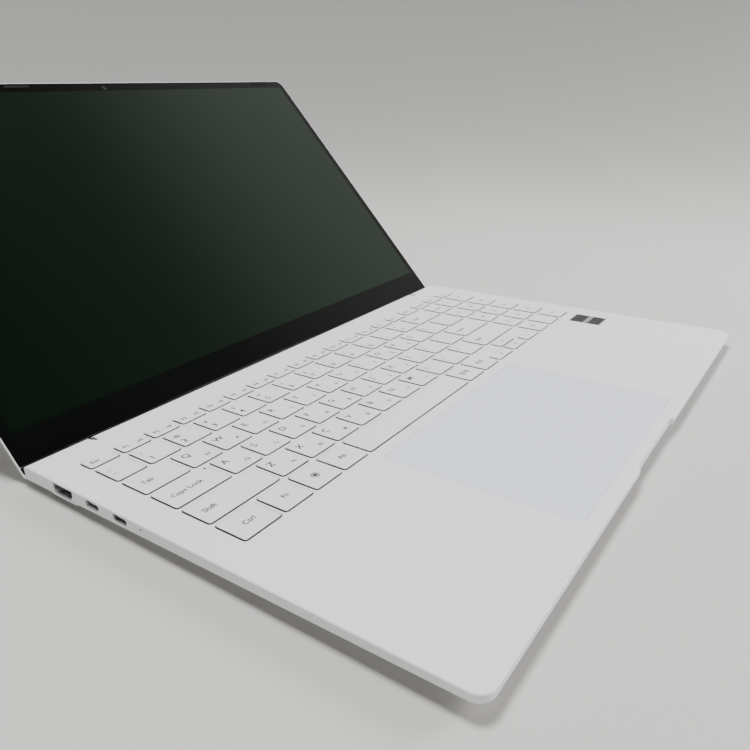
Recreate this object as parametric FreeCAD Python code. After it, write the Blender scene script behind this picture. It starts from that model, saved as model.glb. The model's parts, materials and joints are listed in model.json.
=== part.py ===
import FreeCAD
import Part
import math
import os

# A slim 15.6 inch laptop computer, open. Millimetres, +X to the user's right, +Y to the rear, +Z up.
# Everything is drawn with x = 0 on the centre line, y = 0 at the base's front edge and z = 0 on
# the desk. save() then moves it so that the origin lies on the desk under the middle of the rear foot.

V = FreeCAD.Vector

# ---- overall sizes ----
WIDTH = 355.4
HALF = WIDTH / 2
DECK_Z = 9.5
DECK_T = 1.4
DECK_UNDER = DECK_Z - DECK_T
WALL = 1.5
FLOOR_Z = 1.2
FLOOR_T = 1.0
FLOOR_TOP = FLOOR_Z + FLOOR_T
COVER_SEAM = 0.15
FRONT_R = 6.0
REAR_R = 2.0
EDGE_BEVEL = 0.35

# ---- hinge line and lid ----
AXIS_Y = 226.9
BARREL_R = 3.65
AXIS_Z = DECK_Z - BARREL_R
LID_OPEN = 132.4
LID_DROP = 4.25
LID_T = 3.4
LID_IN = AXIS_Z + LID_DROP
LID_OUT = LID_IN + LID_T
LID_FRONT = 1.3
LID_REAR = AXIS_Y + 0.6
LID_END_R = 3.0
LID_RIM = 0.9
LID_EDGE = 0.25
LID_BACK_T = 0.9
LID_BEVEL = 1.9
GLASS_REAR = AXIS_Y - 5.8
GLASS_T = 0.8
CAMERA_Y = AXIS_Y - 221.0
CAMERA_R = 1.55
BUMPERS_X = (-150, -60, 60, 150)

# ---- wedge of the side walls: the wall is low at the front and high at the rear ----
SIDE_FRONT_LOW = DECK_Z - 3.1
SIDE_REAR_LOW = 3.0
REAR_LOW_Y = AXIS_Y + math.sqrt(BARREL_R ** 2 - (AXIS_Z - SIDE_REAR_LOW) ** 2)
BASE_REAR = AXIS_Y + BARREL_R
POCKET_REAR = 221.5

# ---- keyboard ----
KEY_PITCH_X = 19.07
KEY_PITCH_Y = 18.95
KEY_GAP = 2.3
KEY_D = 16.6
FUNCTION_D = 8.8
FUNCTION_PITCH = 17.31
ARROW_GAP = 1.5
KEY_R = 1.3
KEY_FIT = 0.45
KEY_TOP = DECK_Z + 0.45
KEY_T = 1.6
KEY_TRAVEL = 1.2
DOME_R = 2.4
LINK_T = 0.4
LINK_W = 0.7
BLOCK_LEFT = -162.5
PAD_LEFT = 114.5
PAD_PITCH = 17.33
FIRST_ROW_Y = 105.5
PLATE_TOP = KEY_TOP - KEY_T - KEY_TRAVEL - 0.3
PLATE_T = 0.4

# ---- touchpad ----
PAD_X0 = -84.0
PAD_X1 = 48.0
PAD_Y0 = 7.0
PAD_Y1 = 98.0
PAD_FIT = 0.3
PAD_T = 2.2
PAD_R = 1.2
PIVOT_Y = PAD_Y1 - 1.2
PIVOT_Z = DECK_Z - PAD_T
PIVOT_R = 0.8
SWITCH_Z = 6.2
LABEL = (146.0, 163.0, 76.5, 98.0)
LABEL_T = 0.08

# ---- sockets, by the middle of each along the side ----
HDMI_Y = 199.5
HDMI_Z = DECK_Z - 3.15
USB_C_Y = (178.5, 160.2)
USB_C_Z = DECK_Z - 2.4
CHARGE_Y = 147.3
CHARGE_Z = DECK_Z - 2.2
USB_A_Y = 196.0
USB_A_Z = DECK_Z - 3.3
JACK_Y = 176.0
JACK_Z = DECK_Z - 3.0
JACK_R = 1.8
JACK_L = 11.0
CARD_Y = 158.0
CARD_Z = DECK_Z - 4.3

# ---- finger scoop in the front edge ----
SCOOP_X0 = -33.0
SCOOP_X1 = 27.0
SCOOP_DEPTH = 1.4
SCOOP_SLANT = 3.0

# ---- feet ----
FOOT_T = FLOOR_Z
FOOT_W = 6.0
REAR_FOOT_Y = 210.0
REAR_FOOT_HALF = 140.0
FRONT_FOOT_Y = 30.0
FRONT_FOOT_X0 = 96.0
FRONT_FOOT_X1 = 142.0

# ---- hinges ----
HINGE_X = 144.5
ARM_HALF = 0.9
ARM_R = 2.8
ARM_FRONT = 3.4
ARM_FIT = 0.4
PIN_R = 1.5
PIN_FIT = 0.05
KNUCKLE_R = 2.7
KNUCKLE_FIT = 0.3
KNUCKLE_END = 5.0
LEAF_FRONT = 198.0
LEAF_Z0 = 4.0
LEAF_Z1 = 5.2

# ---- cooling ----
FAN_X = 93.0
FAN_Y = 174.0
FAN_R = 23.0
FAN_BLADES = 29
FAN_Z0 = FLOOR_TOP + 0.2
FAN_Z1 = 6.1
FIN_X0 = 68.0
FIN_X1 = 118.0

FAN_SKIN = 0.4
FAN_INLET_R = 15.0
FAN_HUB_R = 9.0
DUCT_REAR = 203.0

# ---- battery and boards ----
CELL_X0 = -124.0
CELL_W = 60.0
CELL_PITCH = 62.6
CELL_Y0 = 34.0
CELL_Y1 = 98.0
CELL_TOP = 6.1
BATTERY_EDGE = 1.6
BOARD_Z0 = 2.6
BOARD_TOP = 3.4

# ---- screws ----
SCREW_SPOTS = ((-110, 22.5), (80, 22.5), (-158, 92), (158, 92), (-126, 217.5), (0, 217.5), (126, 217.5))
SCREW_R = 0.9
SCREW_HEAD_R = 2.4
BOSS_R = 2.0


# ---------------------------------------------------------------- helpers

def box(x0, x1, y0, y1, z0, z1):
    return Part.makeBox(x1 - x0, y1 - y0, z1 - z0, V(x0, y0, z0))


def cylinder(centre, radius, length, direction):
    return Part.makeCylinder(radius, length, V(*centre), V(*direction))


def group(solids):
    return Part.makeCompound(solids)


def outline(x0, x1, y0, y1, front_r, rear_r, z_front, z_rear=None):
    """A rectangle with round corners; with z_rear it lies in a plane that falls from front to rear."""
    if z_rear is None:
        z_rear = z_front

    def at(x, y):
        return V(x, y, z_front + (z_rear - z_front) * (y - y0) / (y1 - y0))

    corners = (
        (x0, y0, front_r, 180), (x1, y0, front_r, 270), (x1, y1, rear_r, 0), (x0, y1, rear_r, 90))
    edges = []
    ends = []
    for x, y, r, start in corners:
        cx = x + r if x == x0 else x - r
        cy = y + r if y == y0 else y - r
        turn = [math.radians(start + step) for step in (0, 45, 90)]
        arc = [at(cx + r * math.cos(a), cy + r * math.sin(a)) for a in turn]
        edges.append(Part.Arc(*arc).toShape())
        ends.append((arc[0], arc[2]))
    wire = []
    for i, edge in enumerate(edges):
        wire.append(edge)
        wire.append(Part.LineSegment(ends[i][1], ends[(i + 1) % 4][0]).toShape())
    return Part.Wire(wire)


def slab(x0, x1, y0, y1, z0, z1, r):
    return Part.Face(outline(x0, x1, y0, y1, r, r, z0)).extrude(V(0, 0, z1 - z0))


def bevelled_plan(x0, x1, y0, y1, front_r, rear_r, z0, z1, bevel):
    """A round-cornered block whose top edge is bevelled along the front and both sides."""
    low = Part.Face(outline(x0, x1, y0, y1, front_r, rear_r, z0)).extrude(V(0, 0, z1 - bevel - z0))
    wide = outline(x0, x1, y0, y1, front_r, rear_r, z1 - bevel)
    narrow = outline(x0 + bevel, x1 - bevel, y0 + bevel, y1, front_r - bevel, rear_r, z1)
    return low.fuse(Part.makeLoft([wide, narrow], True, True)).removeSplitter()


def prism_x(points, x0, x1):
    """A polygon given as (y, z) points, drawn out along X."""
    ring = [V(x0, y, z) for y, z in points]
    return Part.Face(Part.makePolygon(ring + ring[:1])).extrude(V(x1 - x0, 0, 0))


def prism_y(points, y0, y1):
    """A polygon given as (x, z) points, drawn out along Y."""
    ring = [V(x, y0, z) for x, z in points]
    return Part.Face(Part.makePolygon(ring + ring[:1])).extrude(V(0, y1 - y0, 0))


def both_sides(solid):
    return [solid, solid.mirror(V(0, 0, 0), V(1, 0, 0))]


def save(name, shape):
    moved = shape.copy()
    moved.translate(V(0, -REAR_FOOT_Y, 0))
    moved.exportStep("parts/" + name + ".step")


def save_lid(name, shape):
    """The lid is drawn closed over the deck, then turned open about the hinge line."""
    turned = shape.copy()
    turned.rotate(V(0, AXIS_Y, AXIS_Z), V(-1, 0, 0), LID_OPEN)
    save(name, turned)


# ---------------------------------------------------------------- key layout

def run_of_keys(left, count, pitch, front, depth):
    return [(left + i * pitch, left + (i + 1) * pitch - KEY_GAP, front, front + depth) for i in range(count)]


def key_layout():
    """Node name to the (x0, x1, y0, y1) rectangles of its keycaps."""
    row = [FIRST_ROW_Y + i * KEY_PITCH_Y for i in range(6)]
    right = PAD_LEFT - KEY_GAP
    number_left = BLOCK_LEFT + 0.923 * KEY_PITCH_X
    upper_left = BLOCK_LEFT + 1.347 * KEY_PITCH_X
    home_left = BLOCK_LEFT + 1.683 * KEY_PITCH_X
    lower_left = BLOCK_LEFT + 2.192 * KEY_PITCH_X
    fn_left = BLOCK_LEFT + 1.175 * KEY_PITCH_X
    space_left = fn_left + 3 * KEY_PITCH_X + 0.1
    language_left = BLOCK_LEFT + 9.266 * KEY_PITCH_X
    arrow_left = language_left + 2.01 * KEY_PITCH_X
    arrow_pitch = (PAD_LEFT - arrow_left) / 3
    half = (KEY_D - ARROW_GAP) / 2

    def one(x0, x1, i):
        return [(x0, x1, row[i], row[i] + KEY_D)]

    keys = {}
    function_row = run_of_keys(BLOCK_LEFT, 16, FUNCTION_PITCH, row[5], FUNCTION_D)
    function_row += run_of_keys(PAD_LEFT, 3, PAD_PITCH, row[5], FUNCTION_D)
    keys["power_key"] = function_row[-1:]
    keys["function_keys"] = function_row[:-1]
    keys["number_keys"] = one(BLOCK_LEFT, number_left - KEY_GAP, 4)
    keys["number_keys"] += run_of_keys(number_left, 12, KEY_PITCH_X, row[4], KEY_D)
    keys["backspace_key"] = one(number_left + 12 * KEY_PITCH_X, right, 4)
    keys["tab_key"] = one(BLOCK_LEFT, upper_left - KEY_GAP, 3)
    keys["upper_letter_keys"] = run_of_keys(upper_left, 12, KEY_PITCH_X, row[3], KEY_D)
    keys["upper_letter_keys"] += one(upper_left + 12 * KEY_PITCH_X, right, 3)
    keys["caps_lock_key"] = one(BLOCK_LEFT, home_left - KEY_GAP, 2)
    keys["home_letter_keys"] = run_of_keys(home_left, 11, KEY_PITCH_X, row[2], KEY_D)
    keys["enter_key"] = one(home_left + 11 * KEY_PITCH_X, right, 2)
    keys["left_shift_key"] = one(BLOCK_LEFT, lower_left - KEY_GAP, 1)
    keys["lower_letter_keys"] = run_of_keys(lower_left, 10, KEY_PITCH_X, row[1], KEY_D)
    keys["right_shift_key"] = one(lower_left + 10 * KEY_PITCH_X, right, 1)
    keys["modifier_keys"] = one(BLOCK_LEFT, fn_left - KEY_GAP, 0)
    keys["modifier_keys"] += run_of_keys(fn_left, 3, KEY_PITCH_X, row[0], KEY_D)
    keys["modifier_keys"] += run_of_keys(language_left, 2, KEY_PITCH_X, row[0], KEY_D)
    keys["space_bar"] = one(space_left, language_left - KEY_GAP, 0)
    keys["arrow_keys"] = run_of_keys(arrow_left, 3, arrow_pitch, row[0], half)
    keys["arrow_keys"] += run_of_keys(arrow_left + arrow_pitch, 1, arrow_pitch, row[0] + half + ARROW_GAP, half)
    keys["numpad_keys"] = []
    for i in range(5):
        keys["numpad_keys"] += run_of_keys(PAD_LEFT, 3, PAD_PITCH, row[i], KEY_D)
    return keys


def all_keys(keys):
    return [key for caps in keys.values() for key in caps]


# ---------------------------------------------------------------- sockets

def hdmi_section(grow, x0, x1):
    """The HDMI mouth: a rectangle whose two lower corners are cut off."""
    w = 7.0 + grow
    h = 2.3 + grow
    cut = 1.6
    points = [
        (HDMI_Y - w, HDMI_Z + h), (HDMI_Y + w, HDMI_Z + h), (HDMI_Y + w, HDMI_Z - h + cut),
        (HDMI_Y + w - cut, HDMI_Z - h), (HDMI_Y - w + cut, HDMI_Z - h), (HDMI_Y - w, HDMI_Z - h + cut)]
    return prism_x(points, x0, x1)


def stadium_x(y, z, width, height, x0, x1):
    """A slot with round ends, drawn out along X."""
    r = height / 2
    run = width / 2 - r
    middle = box(x0, x1, y - run, y + run, z - r, z + r)
    ends = [cylinder((x0, y + side * run, z), r, x1 - x0, (1, 0, 0)) for side in (-1, 1)]
    return middle.multiFuse(ends).removeSplitter()


def socket_cuts():
    """The mouths through both side walls, and the room that the socket bodies need under the deck."""
    cuts = [hdmi_section(0.1, -HALF - 1, -HALF + 13.0)]
    for y in USB_C_Y:
        cuts.append(stadium_x(y, USB_C_Z, 9.2, 3.2, -HALF - 1, -HALF + 9.0))
    cuts.append(cylinder((-HALF - 1, CHARGE_Y, CHARGE_Z), 0.55, 4.0, (1, 0, 0)))
    cuts.append(box(HALF - 12.4, HALF + 1, USB_A_Y - 6.8, USB_A_Y + 6.8, USB_A_Z - 2.75, USB_A_Z + 2.75))
    cuts.append(box(HALF - JACK_L - 1.7, HALF - 1.2, JACK_Y - 3.2, JACK_Y + 3.2, JACK_Z - 2.6, JACK_Z + 2.6))
    cuts.append(cylinder((HALF - 2, JACK_Y, JACK_Z), 2.6, 3.0, (1, 0, 0)))
    cuts.append(box(HALF - 15.2, HALF + 1, CARD_Y - 6.1, CARD_Y + 6.1, CARD_Z - 0.9, CARD_Z + 0.9))
    return cuts


def make_sockets():
    shell = hdmi_section(0.0, -HALF + 0.4, -HALF + 12.0)
    shell = shell.cut(hdmi_section(-0.35, -HALF, -HALF + 11.6))
    tongue = box(-HALF + 2.0, -HALF + 11.6, HDMI_Y - 5.0, HDMI_Y + 5.0, HDMI_Z - 0.1, HDMI_Z + 0.8)
    save("hdmi_socket", shell.fuse(tongue).removeSplitter())

    usb_c = []
    for y in USB_C_Y:
        can = stadium_x(y, USB_C_Z, 9.0, 3.0, -HALF + 0.4, -HALF + 8.4)
        can = can.cut(stadium_x(y, USB_C_Z, 8.4, 2.4, -HALF, -HALF + 8.0))
        tongue = box(-HALF + 1.2, -HALF + 8.0, y - 3.3, y + 3.3, USB_C_Z - 0.35, USB_C_Z + 0.35)
        usb_c.append(can.fuse(tongue).removeSplitter())
    save("usb_c_sockets", group(usb_c))

    can = box(HALF - 12.2, HALF - 0.4, USB_A_Y - 6.6, USB_A_Y + 6.6, USB_A_Z - 2.55, USB_A_Z + 2.55)
    can = can.cut(box(HALF - 11.7, HALF, USB_A_Y - 6.25, USB_A_Y + 6.25, USB_A_Z - 2.2, USB_A_Z + 2.2))
    tongue = box(HALF - 11.7, HALF - 1.6, USB_A_Y - 5.6, USB_A_Y + 5.6, USB_A_Z + 0.2, USB_A_Z + 1.7)
    save("usb_a_socket", can.fuse(tongue).removeSplitter())

    jack = box(HALF - JACK_L - 1.5, HALF - 1.7, JACK_Y - 3.0, JACK_Y + 3.0, JACK_Z - 2.4, JACK_Z + 2.4)
    jack = jack.fuse(cylinder((HALF - 1.7, JACK_Y, JACK_Z), 2.4, 1.4, (1, 0, 0)))
    jack = jack.cut(cylinder((HALF - JACK_L - 0.3, JACK_Y, JACK_Z), JACK_R, JACK_L + 1, (1, 0, 0)))
    save("audio_jack", jack.removeSplitter())

    card = box(HALF - 15.0, HALF - 0.5, CARD_Y - 5.9, CARD_Y + 5.9, CARD_Z - 0.7, CARD_Z + 0.7)
    card = card.cut(box(HALF - 14.6, HALF, CARD_Y - 5.6, CARD_Y + 5.6, CARD_Z - 0.45, CARD_Z + 0.45))
    save("card_slot", card)

    save("charge_light", cylinder((-HALF + 0.1, CHARGE_Y, CHARGE_Z), 0.5, 3.4, (1, 0, 0)))


# ---------------------------------------------------------------- base casing

def wedge_body():
    """The solid block of the top case: flat deck, round rear edge and wedge-shaped side walls."""
    top_rear = V(0, AXIS_Y, DECK_Z)
    barrel_back = V(0, BASE_REAR, AXIS_Z)
    low_rear = V(0, REAR_LOW_Y, SIDE_REAR_LOW)
    low_front = V(0, 0, SIDE_FRONT_LOW)
    top_front = V(0, 0, DECK_Z)
    edges = [
        Part.LineSegment(low_front, top_front).toShape(),
        Part.LineSegment(top_front, top_rear).toShape(),
        Part.Arc(top_rear, barrel_back, low_rear).toShape(),
        Part.LineSegment(low_rear, low_front).toShape()]
    face = Part.Face(Part.Wire(edges))
    face.translate(V(-HALF, 0, 0))
    block = face.extrude(V(WIDTH, 0, 0))
    plan = bevelled_plan(-HALF, HALF, 0, BASE_REAR + 0.01, FRONT_R, REAR_R, 0, DECK_Z, EDGE_BEVEL)
    return block.common(plan)


def scoop():
    points = [
        V(SCOOP_X0, -1, 0), V(SCOOP_X0 + SCOOP_SLANT, SCOOP_DEPTH, 0),
        V(SCOOP_X1 - SCOOP_SLANT, SCOOP_DEPTH, 0), V(SCOOP_X1, -1, 0)]
    return Part.Face(Part.makePolygon(points + points[:1])).extrude(V(0, 0, DECK_Z + 1))


def hinge_room(side):
    """The slot that the lid's arm swings in, and the pocket of the knuckles that hold its pin."""
    x = side * HINGE_X
    slot = ARM_HALF + ARM_FIT
    swing = cylinder((x - slot, AXIS_Y, AXIS_Z), BARREL_R + 0.6, 2 * slot, (1, 0, 0))
    notch = box(x - slot, x + slot, AXIS_Y - ARM_FRONT - ARM_FIT, AXIS_Y, AXIS_Z, DECK_Z + 1)
    reach = KNUCKLE_END + KNUCKLE_FIT
    bore = cylinder((x - reach, AXIS_Y, AXIS_Z), KNUCKLE_R + KNUCKLE_FIT, 2 * reach, (1, 0, 0))
    web = box(x - reach, x + reach, POCKET_REAR - 1, AXIS_Y, 3.6, AXIS_Z + 0.3)
    return [swing, notch, bore, web]


def make_top_case(keys):
    case = wedge_body()
    pocket = slab(-HALF + WALL, HALF - WALL, WALL, POCKET_REAR, -1, DECK_UNDER, FRONT_R - WALL)
    case = case.cut(pocket)
    rib = box(SCOOP_X0 - 3, SCOOP_X1 + 3, WALL - 0.2, SCOOP_DEPTH + 1.6, SIDE_FRONT_LOW - 0.02, DECK_UNDER)
    bosses = [cylinder((x, y, FLOOR_TOP + 0.1), BOSS_R, DECK_UNDER - FLOOR_TOP, (0, 0, 1)) for x, y in SCREW_SPOTS]
    case = case.multiFuse([rib] + bosses).removeSplitter()
    cuts = [scoop()]
    for x0, x1, y0, y1 in all_keys(keys):
        cuts.append(slab(
            x0 - KEY_FIT, x1 + KEY_FIT, y0 - KEY_FIT, y1 + KEY_FIT, DECK_UNDER - 1, DECK_Z + 1, KEY_R + KEY_FIT))
    cuts.append(slab(
        PAD_X0 - PAD_FIT, PAD_X1 + PAD_FIT, PAD_Y0 - PAD_FIT, PAD_Y1 + PAD_FIT, DECK_UNDER - 1, DECK_Z + 1,
        PAD_R + PAD_FIT))
    cuts += socket_cuts()
    cuts += hinge_room(-1) + hinge_room(1)
    for x, y in SCREW_SPOTS:
        cuts.append(cylinder((x, y, FLOOR_TOP - 1), SCREW_R + 0.02, 5.2, (0, 0, 1)))
    case = case.cut(cuts)
    save("top_case", case)


def tray(inset, drop, floor_z, side_run, front_run, rear_y):
    """A solid with the top case's outline above and a smaller flat floor below, joined by slopes."""
    rear = REAR_LOW_Y - 0.3 - inset
    top = outline(
        -HALF + 0.25 + inset, HALF - 0.25 - inset, 0.25 + inset, rear, FRONT_R, REAR_R,
        SIDE_FRONT_LOW - drop, SIDE_REAR_LOW - drop)
    low = outline(-HALF + side_run, HALF - side_run, front_run, rear_y, FRONT_R, REAR_R, floor_z)
    return Part.makeLoft([top, low], True, True)


def make_bottom_cover():
    cover = tray(0, COVER_SEAM, FLOOR_Z, 13.0, 18.0, 221.5)
    inner = tray(1.2, -1.0, FLOOR_TOP, 14.0, 20.0, 220.6)
    cover = cover.cut(inner)
    bulge = prism_x(
        [(HDMI_Y - 10, 3.0), (HDMI_Y - 8.4, 2.35), (HDMI_Y + 8.4, 2.35), (HDMI_Y + 10, 3.0)],
        -HALF + 0.3, -HALF + 8)
    cover = cover.fuse(bulge)
    cuts = [scoop()]
    for x, y in SCREW_SPOTS:
        cuts.append(cylinder((x, y, FLOOR_Z - 1), SCREW_HEAD_R + 0.2, 1.5, (0, 0, 1)))
        cuts.append(cylinder((x, y, FLOOR_Z - 1), SCREW_R + 0.1, 4.0, (0, 0, 1)))
    for side in (-1, 1):
        for i in range(9):
            x = side * FAN_X + (i - 4) * 4.6
            half = math.sqrt(20.5 ** 2 - ((i - 4) * 4.6) ** 2)
            cuts.append(slab(x - 0.9, x + 0.9, FAN_Y - half, FAN_Y + half, 0, 3, 0.85))
        for i in range(10):
            x = side * (FIN_X0 + 2.5 + i * 5.0)
            cuts.append(box(x - 1.2, x + 1.2, 222.0, 226.0, 0, 4))
        for i in range(12):
            x = side * (136.0 + i * 2.4)
            cuts.append(slab(x - 0.5, x + 0.5, 36.0, 52.0, 0, 3, 0.45))
    save("bottom_cover", cover.cut(cuts))


def make_feet_and_screws():
    def strip(x0, x1, y):
        foot = slab(x0, x1, y - FOOT_W / 2, y + FOOT_W / 2, 0, FOOT_T, FOOT_W / 2 - 0.2)
        return foot.makeChamfer(0.3, [e for e in foot.Edges if e.BoundBox.ZMax < 0.01])

    feet = [strip(-REAR_FOOT_HALF, REAR_FOOT_HALF, REAR_FOOT_Y)]
    feet += both_sides(strip(FRONT_FOOT_X0, FRONT_FOOT_X1, FRONT_FOOT_Y))
    save("rubber_feet", group(feet))

    screws = []
    for x, y in SCREW_SPOTS:
        head = cylinder((x, y, FLOOR_Z + 0.05), SCREW_HEAD_R, 0.45, (0, 0, 1))
        shank = cylinder((x, y, FLOOR_Z + 0.4), SCREW_R, 4.5, (0, 0, 1))
        cross = [
            box(x - 1.3, x + 1.3, y - 0.25, y + 0.25, FLOOR_Z, FLOOR_Z + 0.3),
            box(x - 0.25, x + 0.25, y - 1.3, y + 1.3, FLOOR_Z, FLOOR_Z + 0.3)]
        screws.append(head.fuse(shank).cut(cross).removeSplitter())
    save("bottom_screws", group(screws))


# ---------------------------------------------------------------- keyboard

def make_keys(keys):
    for name, caps in keys.items():
        solids = [slab(x0, x1, y0, y1, KEY_TOP - KEY_T, KEY_TOP, KEY_R) for x0, x1, y0, y1 in caps]
        save(name, group(solids))


def make_key_works(keys):
    """The parts under the keycaps: steel plate, contact sheet, rubber domes and scissor links."""
    caps = all_keys(keys)
    x0 = BLOCK_LEFT - 3
    x1 = PAD_LEFT + 3 * PAD_PITCH - KEY_GAP + 0.8
    y0 = FIRST_ROW_Y - 3
    y1 = FIRST_ROW_Y + 5 * KEY_PITCH_Y + FUNCTION_D + 3
    plate = slab(x0, x1, y0, y1, PLATE_TOP - PLATE_T, PLATE_TOP, 2.0)
    save("keyboard_plate", plate)
    sheet = slab(x0 + 1, x1 - 0.3, y0 + 1, y1 - 1, PLATE_TOP + 0.02, PLATE_TOP + 0.12, 2.0)
    save("key_contact_sheet", sheet)

    sheet_top = PLATE_TOP + 0.14
    cap_under = KEY_TOP - KEY_T - 0.02
    domes = []
    links = []
    for kx0, kx1, ky0, ky1 in caps:
        cx = (kx0 + kx1) / 2
        cy = (ky0 + ky1) / 2
        dome_r = min(DOME_R, (ky1 - ky0) / 2 - 2.6)
        domes.append(Part.makeCone(dome_r, 0.55 * dome_r, cap_under - sheet_top, V(cx, cy, sheet_top)))
        span = min(kx1 - kx0, KEY_PITCH_X) / 2 - 2.2
        reach = (ky1 - ky0) / 2 - 1.4
        for side in (-1, 1):
            for face in (-1, 1):
                near = cy + side * reach - (0.9 if face > 0 else 0)
                low = (cx - face * span, sheet_top)
                high = (cx + face * span, cap_under - LINK_T)
                bar = [low, (low[0], low[1] + LINK_T), (high[0], high[1] + LINK_T), high]
                links.append(prism_y(bar, near, near + LINK_W))
    save("rubber_domes", group(domes))
    save("scissor_links", group(links))


# ---------------------------------------------------------------- touchpad and label

def make_touchpad():
    """The pad turns on a round bead under its rear edge and presses a switch under its front edge."""
    pad = slab(PAD_X0, PAD_X1, PAD_Y0, PAD_Y1, DECK_Z - PAD_T, DECK_Z - 0.05, PAD_R)
    bead = cylinder((PAD_X0 + 8, PIVOT_Y, PIVOT_Z), PIVOT_R, PAD_X1 - PAD_X0 - 16, (1, 0, 0))
    save("touchpad", pad.fuse(bead).removeSplitter())
    middle = (PAD_X0 + PAD_X1) / 2
    can = box(middle - 3, middle + 3, PAD_Y0 + 5, PAD_Y0 + 11, SWITCH_Z, SWITCH_Z + 0.4)
    plunger = cylinder((middle, PAD_Y0 + 8, SWITCH_Z + 0.4), 1.4, 0.35, (0, 0, 1))
    save("touchpad_switch", can.fuse(plunger).removeSplitter())
    save("palm_label", box(*LABEL, DECK_Z, DECK_Z + LABEL_T))


# ---------------------------------------------------------------- inside the base

def make_battery():
    cells = []
    rooms = []
    for i in range(4):
        left = CELL_X0 + i * CELL_PITCH
        right = left + CELL_W
        cells.append(slab(left, right, CELL_Y0, CELL_Y1, FLOOR_TOP + 0.3, CELL_TOP, 1.5))
        rooms.append(slab(left - 0.2, right + 0.2, CELL_Y0 - 0.2, CELL_Y1 + 0.2, FLOOR_TOP - 1, 7.0, 1.6))
    save("battery_cells", group(cells))
    frame_x1 = CELL_X0 + 3 * CELL_PITCH + CELL_W + BATTERY_EDGE
    frame = slab(
        CELL_X0 - BATTERY_EDGE, frame_x1, CELL_Y0 - 1.8, CELL_Y1 + 1.8, FLOOR_TOP + 0.1, 5.0, 2.5)
    save("battery_frame", frame.cut(rooms))


def make_boards():
    save("main_board", slab(-60, 62, 108, 204, BOARD_Z0, BOARD_TOP, 2.0))
    left = slab(-164, -136, 140, 212, 3.0, 3.5, 1.0)
    right = slab(136, 164, 148, 212, 3.0, 3.5, 1.0)
    save("socket_boards", group([left, right]))
    save("processor", box(-15, 15, 150, 174, BOARD_TOP, BOARD_TOP + 0.8))
    save("ssd_module", box(30, 52, 114, 194, BOARD_TOP + 0.1, BOARD_TOP + 2.0))
    save("wireless_card", box(-54, -32, 114, 144, BOARD_TOP + 0.1, BOARD_TOP + 1.8))
    save("heat_spreader", slab(-24, 24, 146, 206, BOARD_TOP + 0.85, BOARD_TOP + 1.35, 2.0))
    save("display_cable", box(-48, -30, 190, 221, BOARD_TOP + 0.05, BOARD_TOP + 0.35))


def make_cooling():
    save("heat_pipe", slab(-FIN_X1, FIN_X1, 203.5, 210.0, 4.8, 6.0, 3.0))
    fins = []
    for side in (-1, 1):
        for i in range(18):
            x = side * (FIN_X0 + 1 + i * 2.85)
            fins.append(box(x - 0.25, x + 0.25, 202.0, 213.0, FLOOR_TOP + 0.3, 4.75))
    save("cooling_fins", group(fins))

    housings = []
    inner_z0 = FAN_Z0 + FAN_SKIN
    inner_z1 = FAN_Z1 - FAN_SKIN
    for side in (-1, 1):
        cx = side * FAN_X
        room = FAN_R + 1.2
        shell = cylinder((cx, FAN_Y, FAN_Z0), room + 1.0, FAN_Z1 - FAN_Z0, (0, 0, 1))
        shell = shell.fuse(box(cx - room, cx + room, FAN_Y, DUCT_REAR - 1.5, FAN_Z0, FAN_Z1))
        hollow = cylinder((cx, FAN_Y, inner_z0), room, inner_z1 - inner_z0, (0, 0, 1))
        duct = box(cx - room + 1, cx + room - 1, FAN_Y, DUCT_REAR, inner_z0, inner_z1)
        inlet = cylinder((cx, FAN_Y, FAN_Z0 - 1), FAN_INLET_R, 2.0, (0, 0, 1))
        post = cylinder((cx, FAN_Y, FAN_Z0), 1.0, 2.2, (0, 0, 1))
        reach = FAN_INLET_R + 0.5
        spider = box(cx - reach, cx + reach, FAN_Y - 0.8, FAN_Y + 0.8, FAN_Z0, inner_z0)
        housings.append(shell.cut([hollow, duct, inlet]).multiFuse([spider, post]).removeSplitter())
    save("fan_housings", group(housings))

    z0 = FAN_Z0 + 0.9
    height = FAN_Z1 - FAN_Z0 - 1.8
    for side, name in ((-1, "fan_rotor_left"), (1, "fan_rotor_right")):
        cx = side * FAN_X
        hub = cylinder((cx, FAN_Y, z0), FAN_HUB_R, height, (0, 0, 1))
        root = FAN_HUB_R - 0.5
        blades = []
        for i in range(FAN_BLADES):
            blade = box(root, FAN_R, -0.3, 0.3, 0, height)
            blade.rotate(V(root, 0, 0), V(0, 0, 1), 22 * side)
            blade.rotate(V(0, 0, 0), V(0, 0, 1), i * 360 / FAN_BLADES)
            blade.translate(V(cx, FAN_Y, z0))
            blades.append(blade)
        bore = cylinder((cx, FAN_Y, z0 - 1), 1.05, 2.5, (0, 0, 1))
        rim = cylinder((cx, FAN_Y, z0), FAN_R, height, (0, 0, 1))
        save(name, hub.multiFuse(blades).common(rim).cut(bore).removeSplitter())


def make_speakers():
    pod = slab(132, 164, 30, 60, FLOOR_TOP + 0.3, 6.6, 3.0)
    save("speakers", group(both_sides(pod)))


# ---------------------------------------------------------------- hinges

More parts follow.
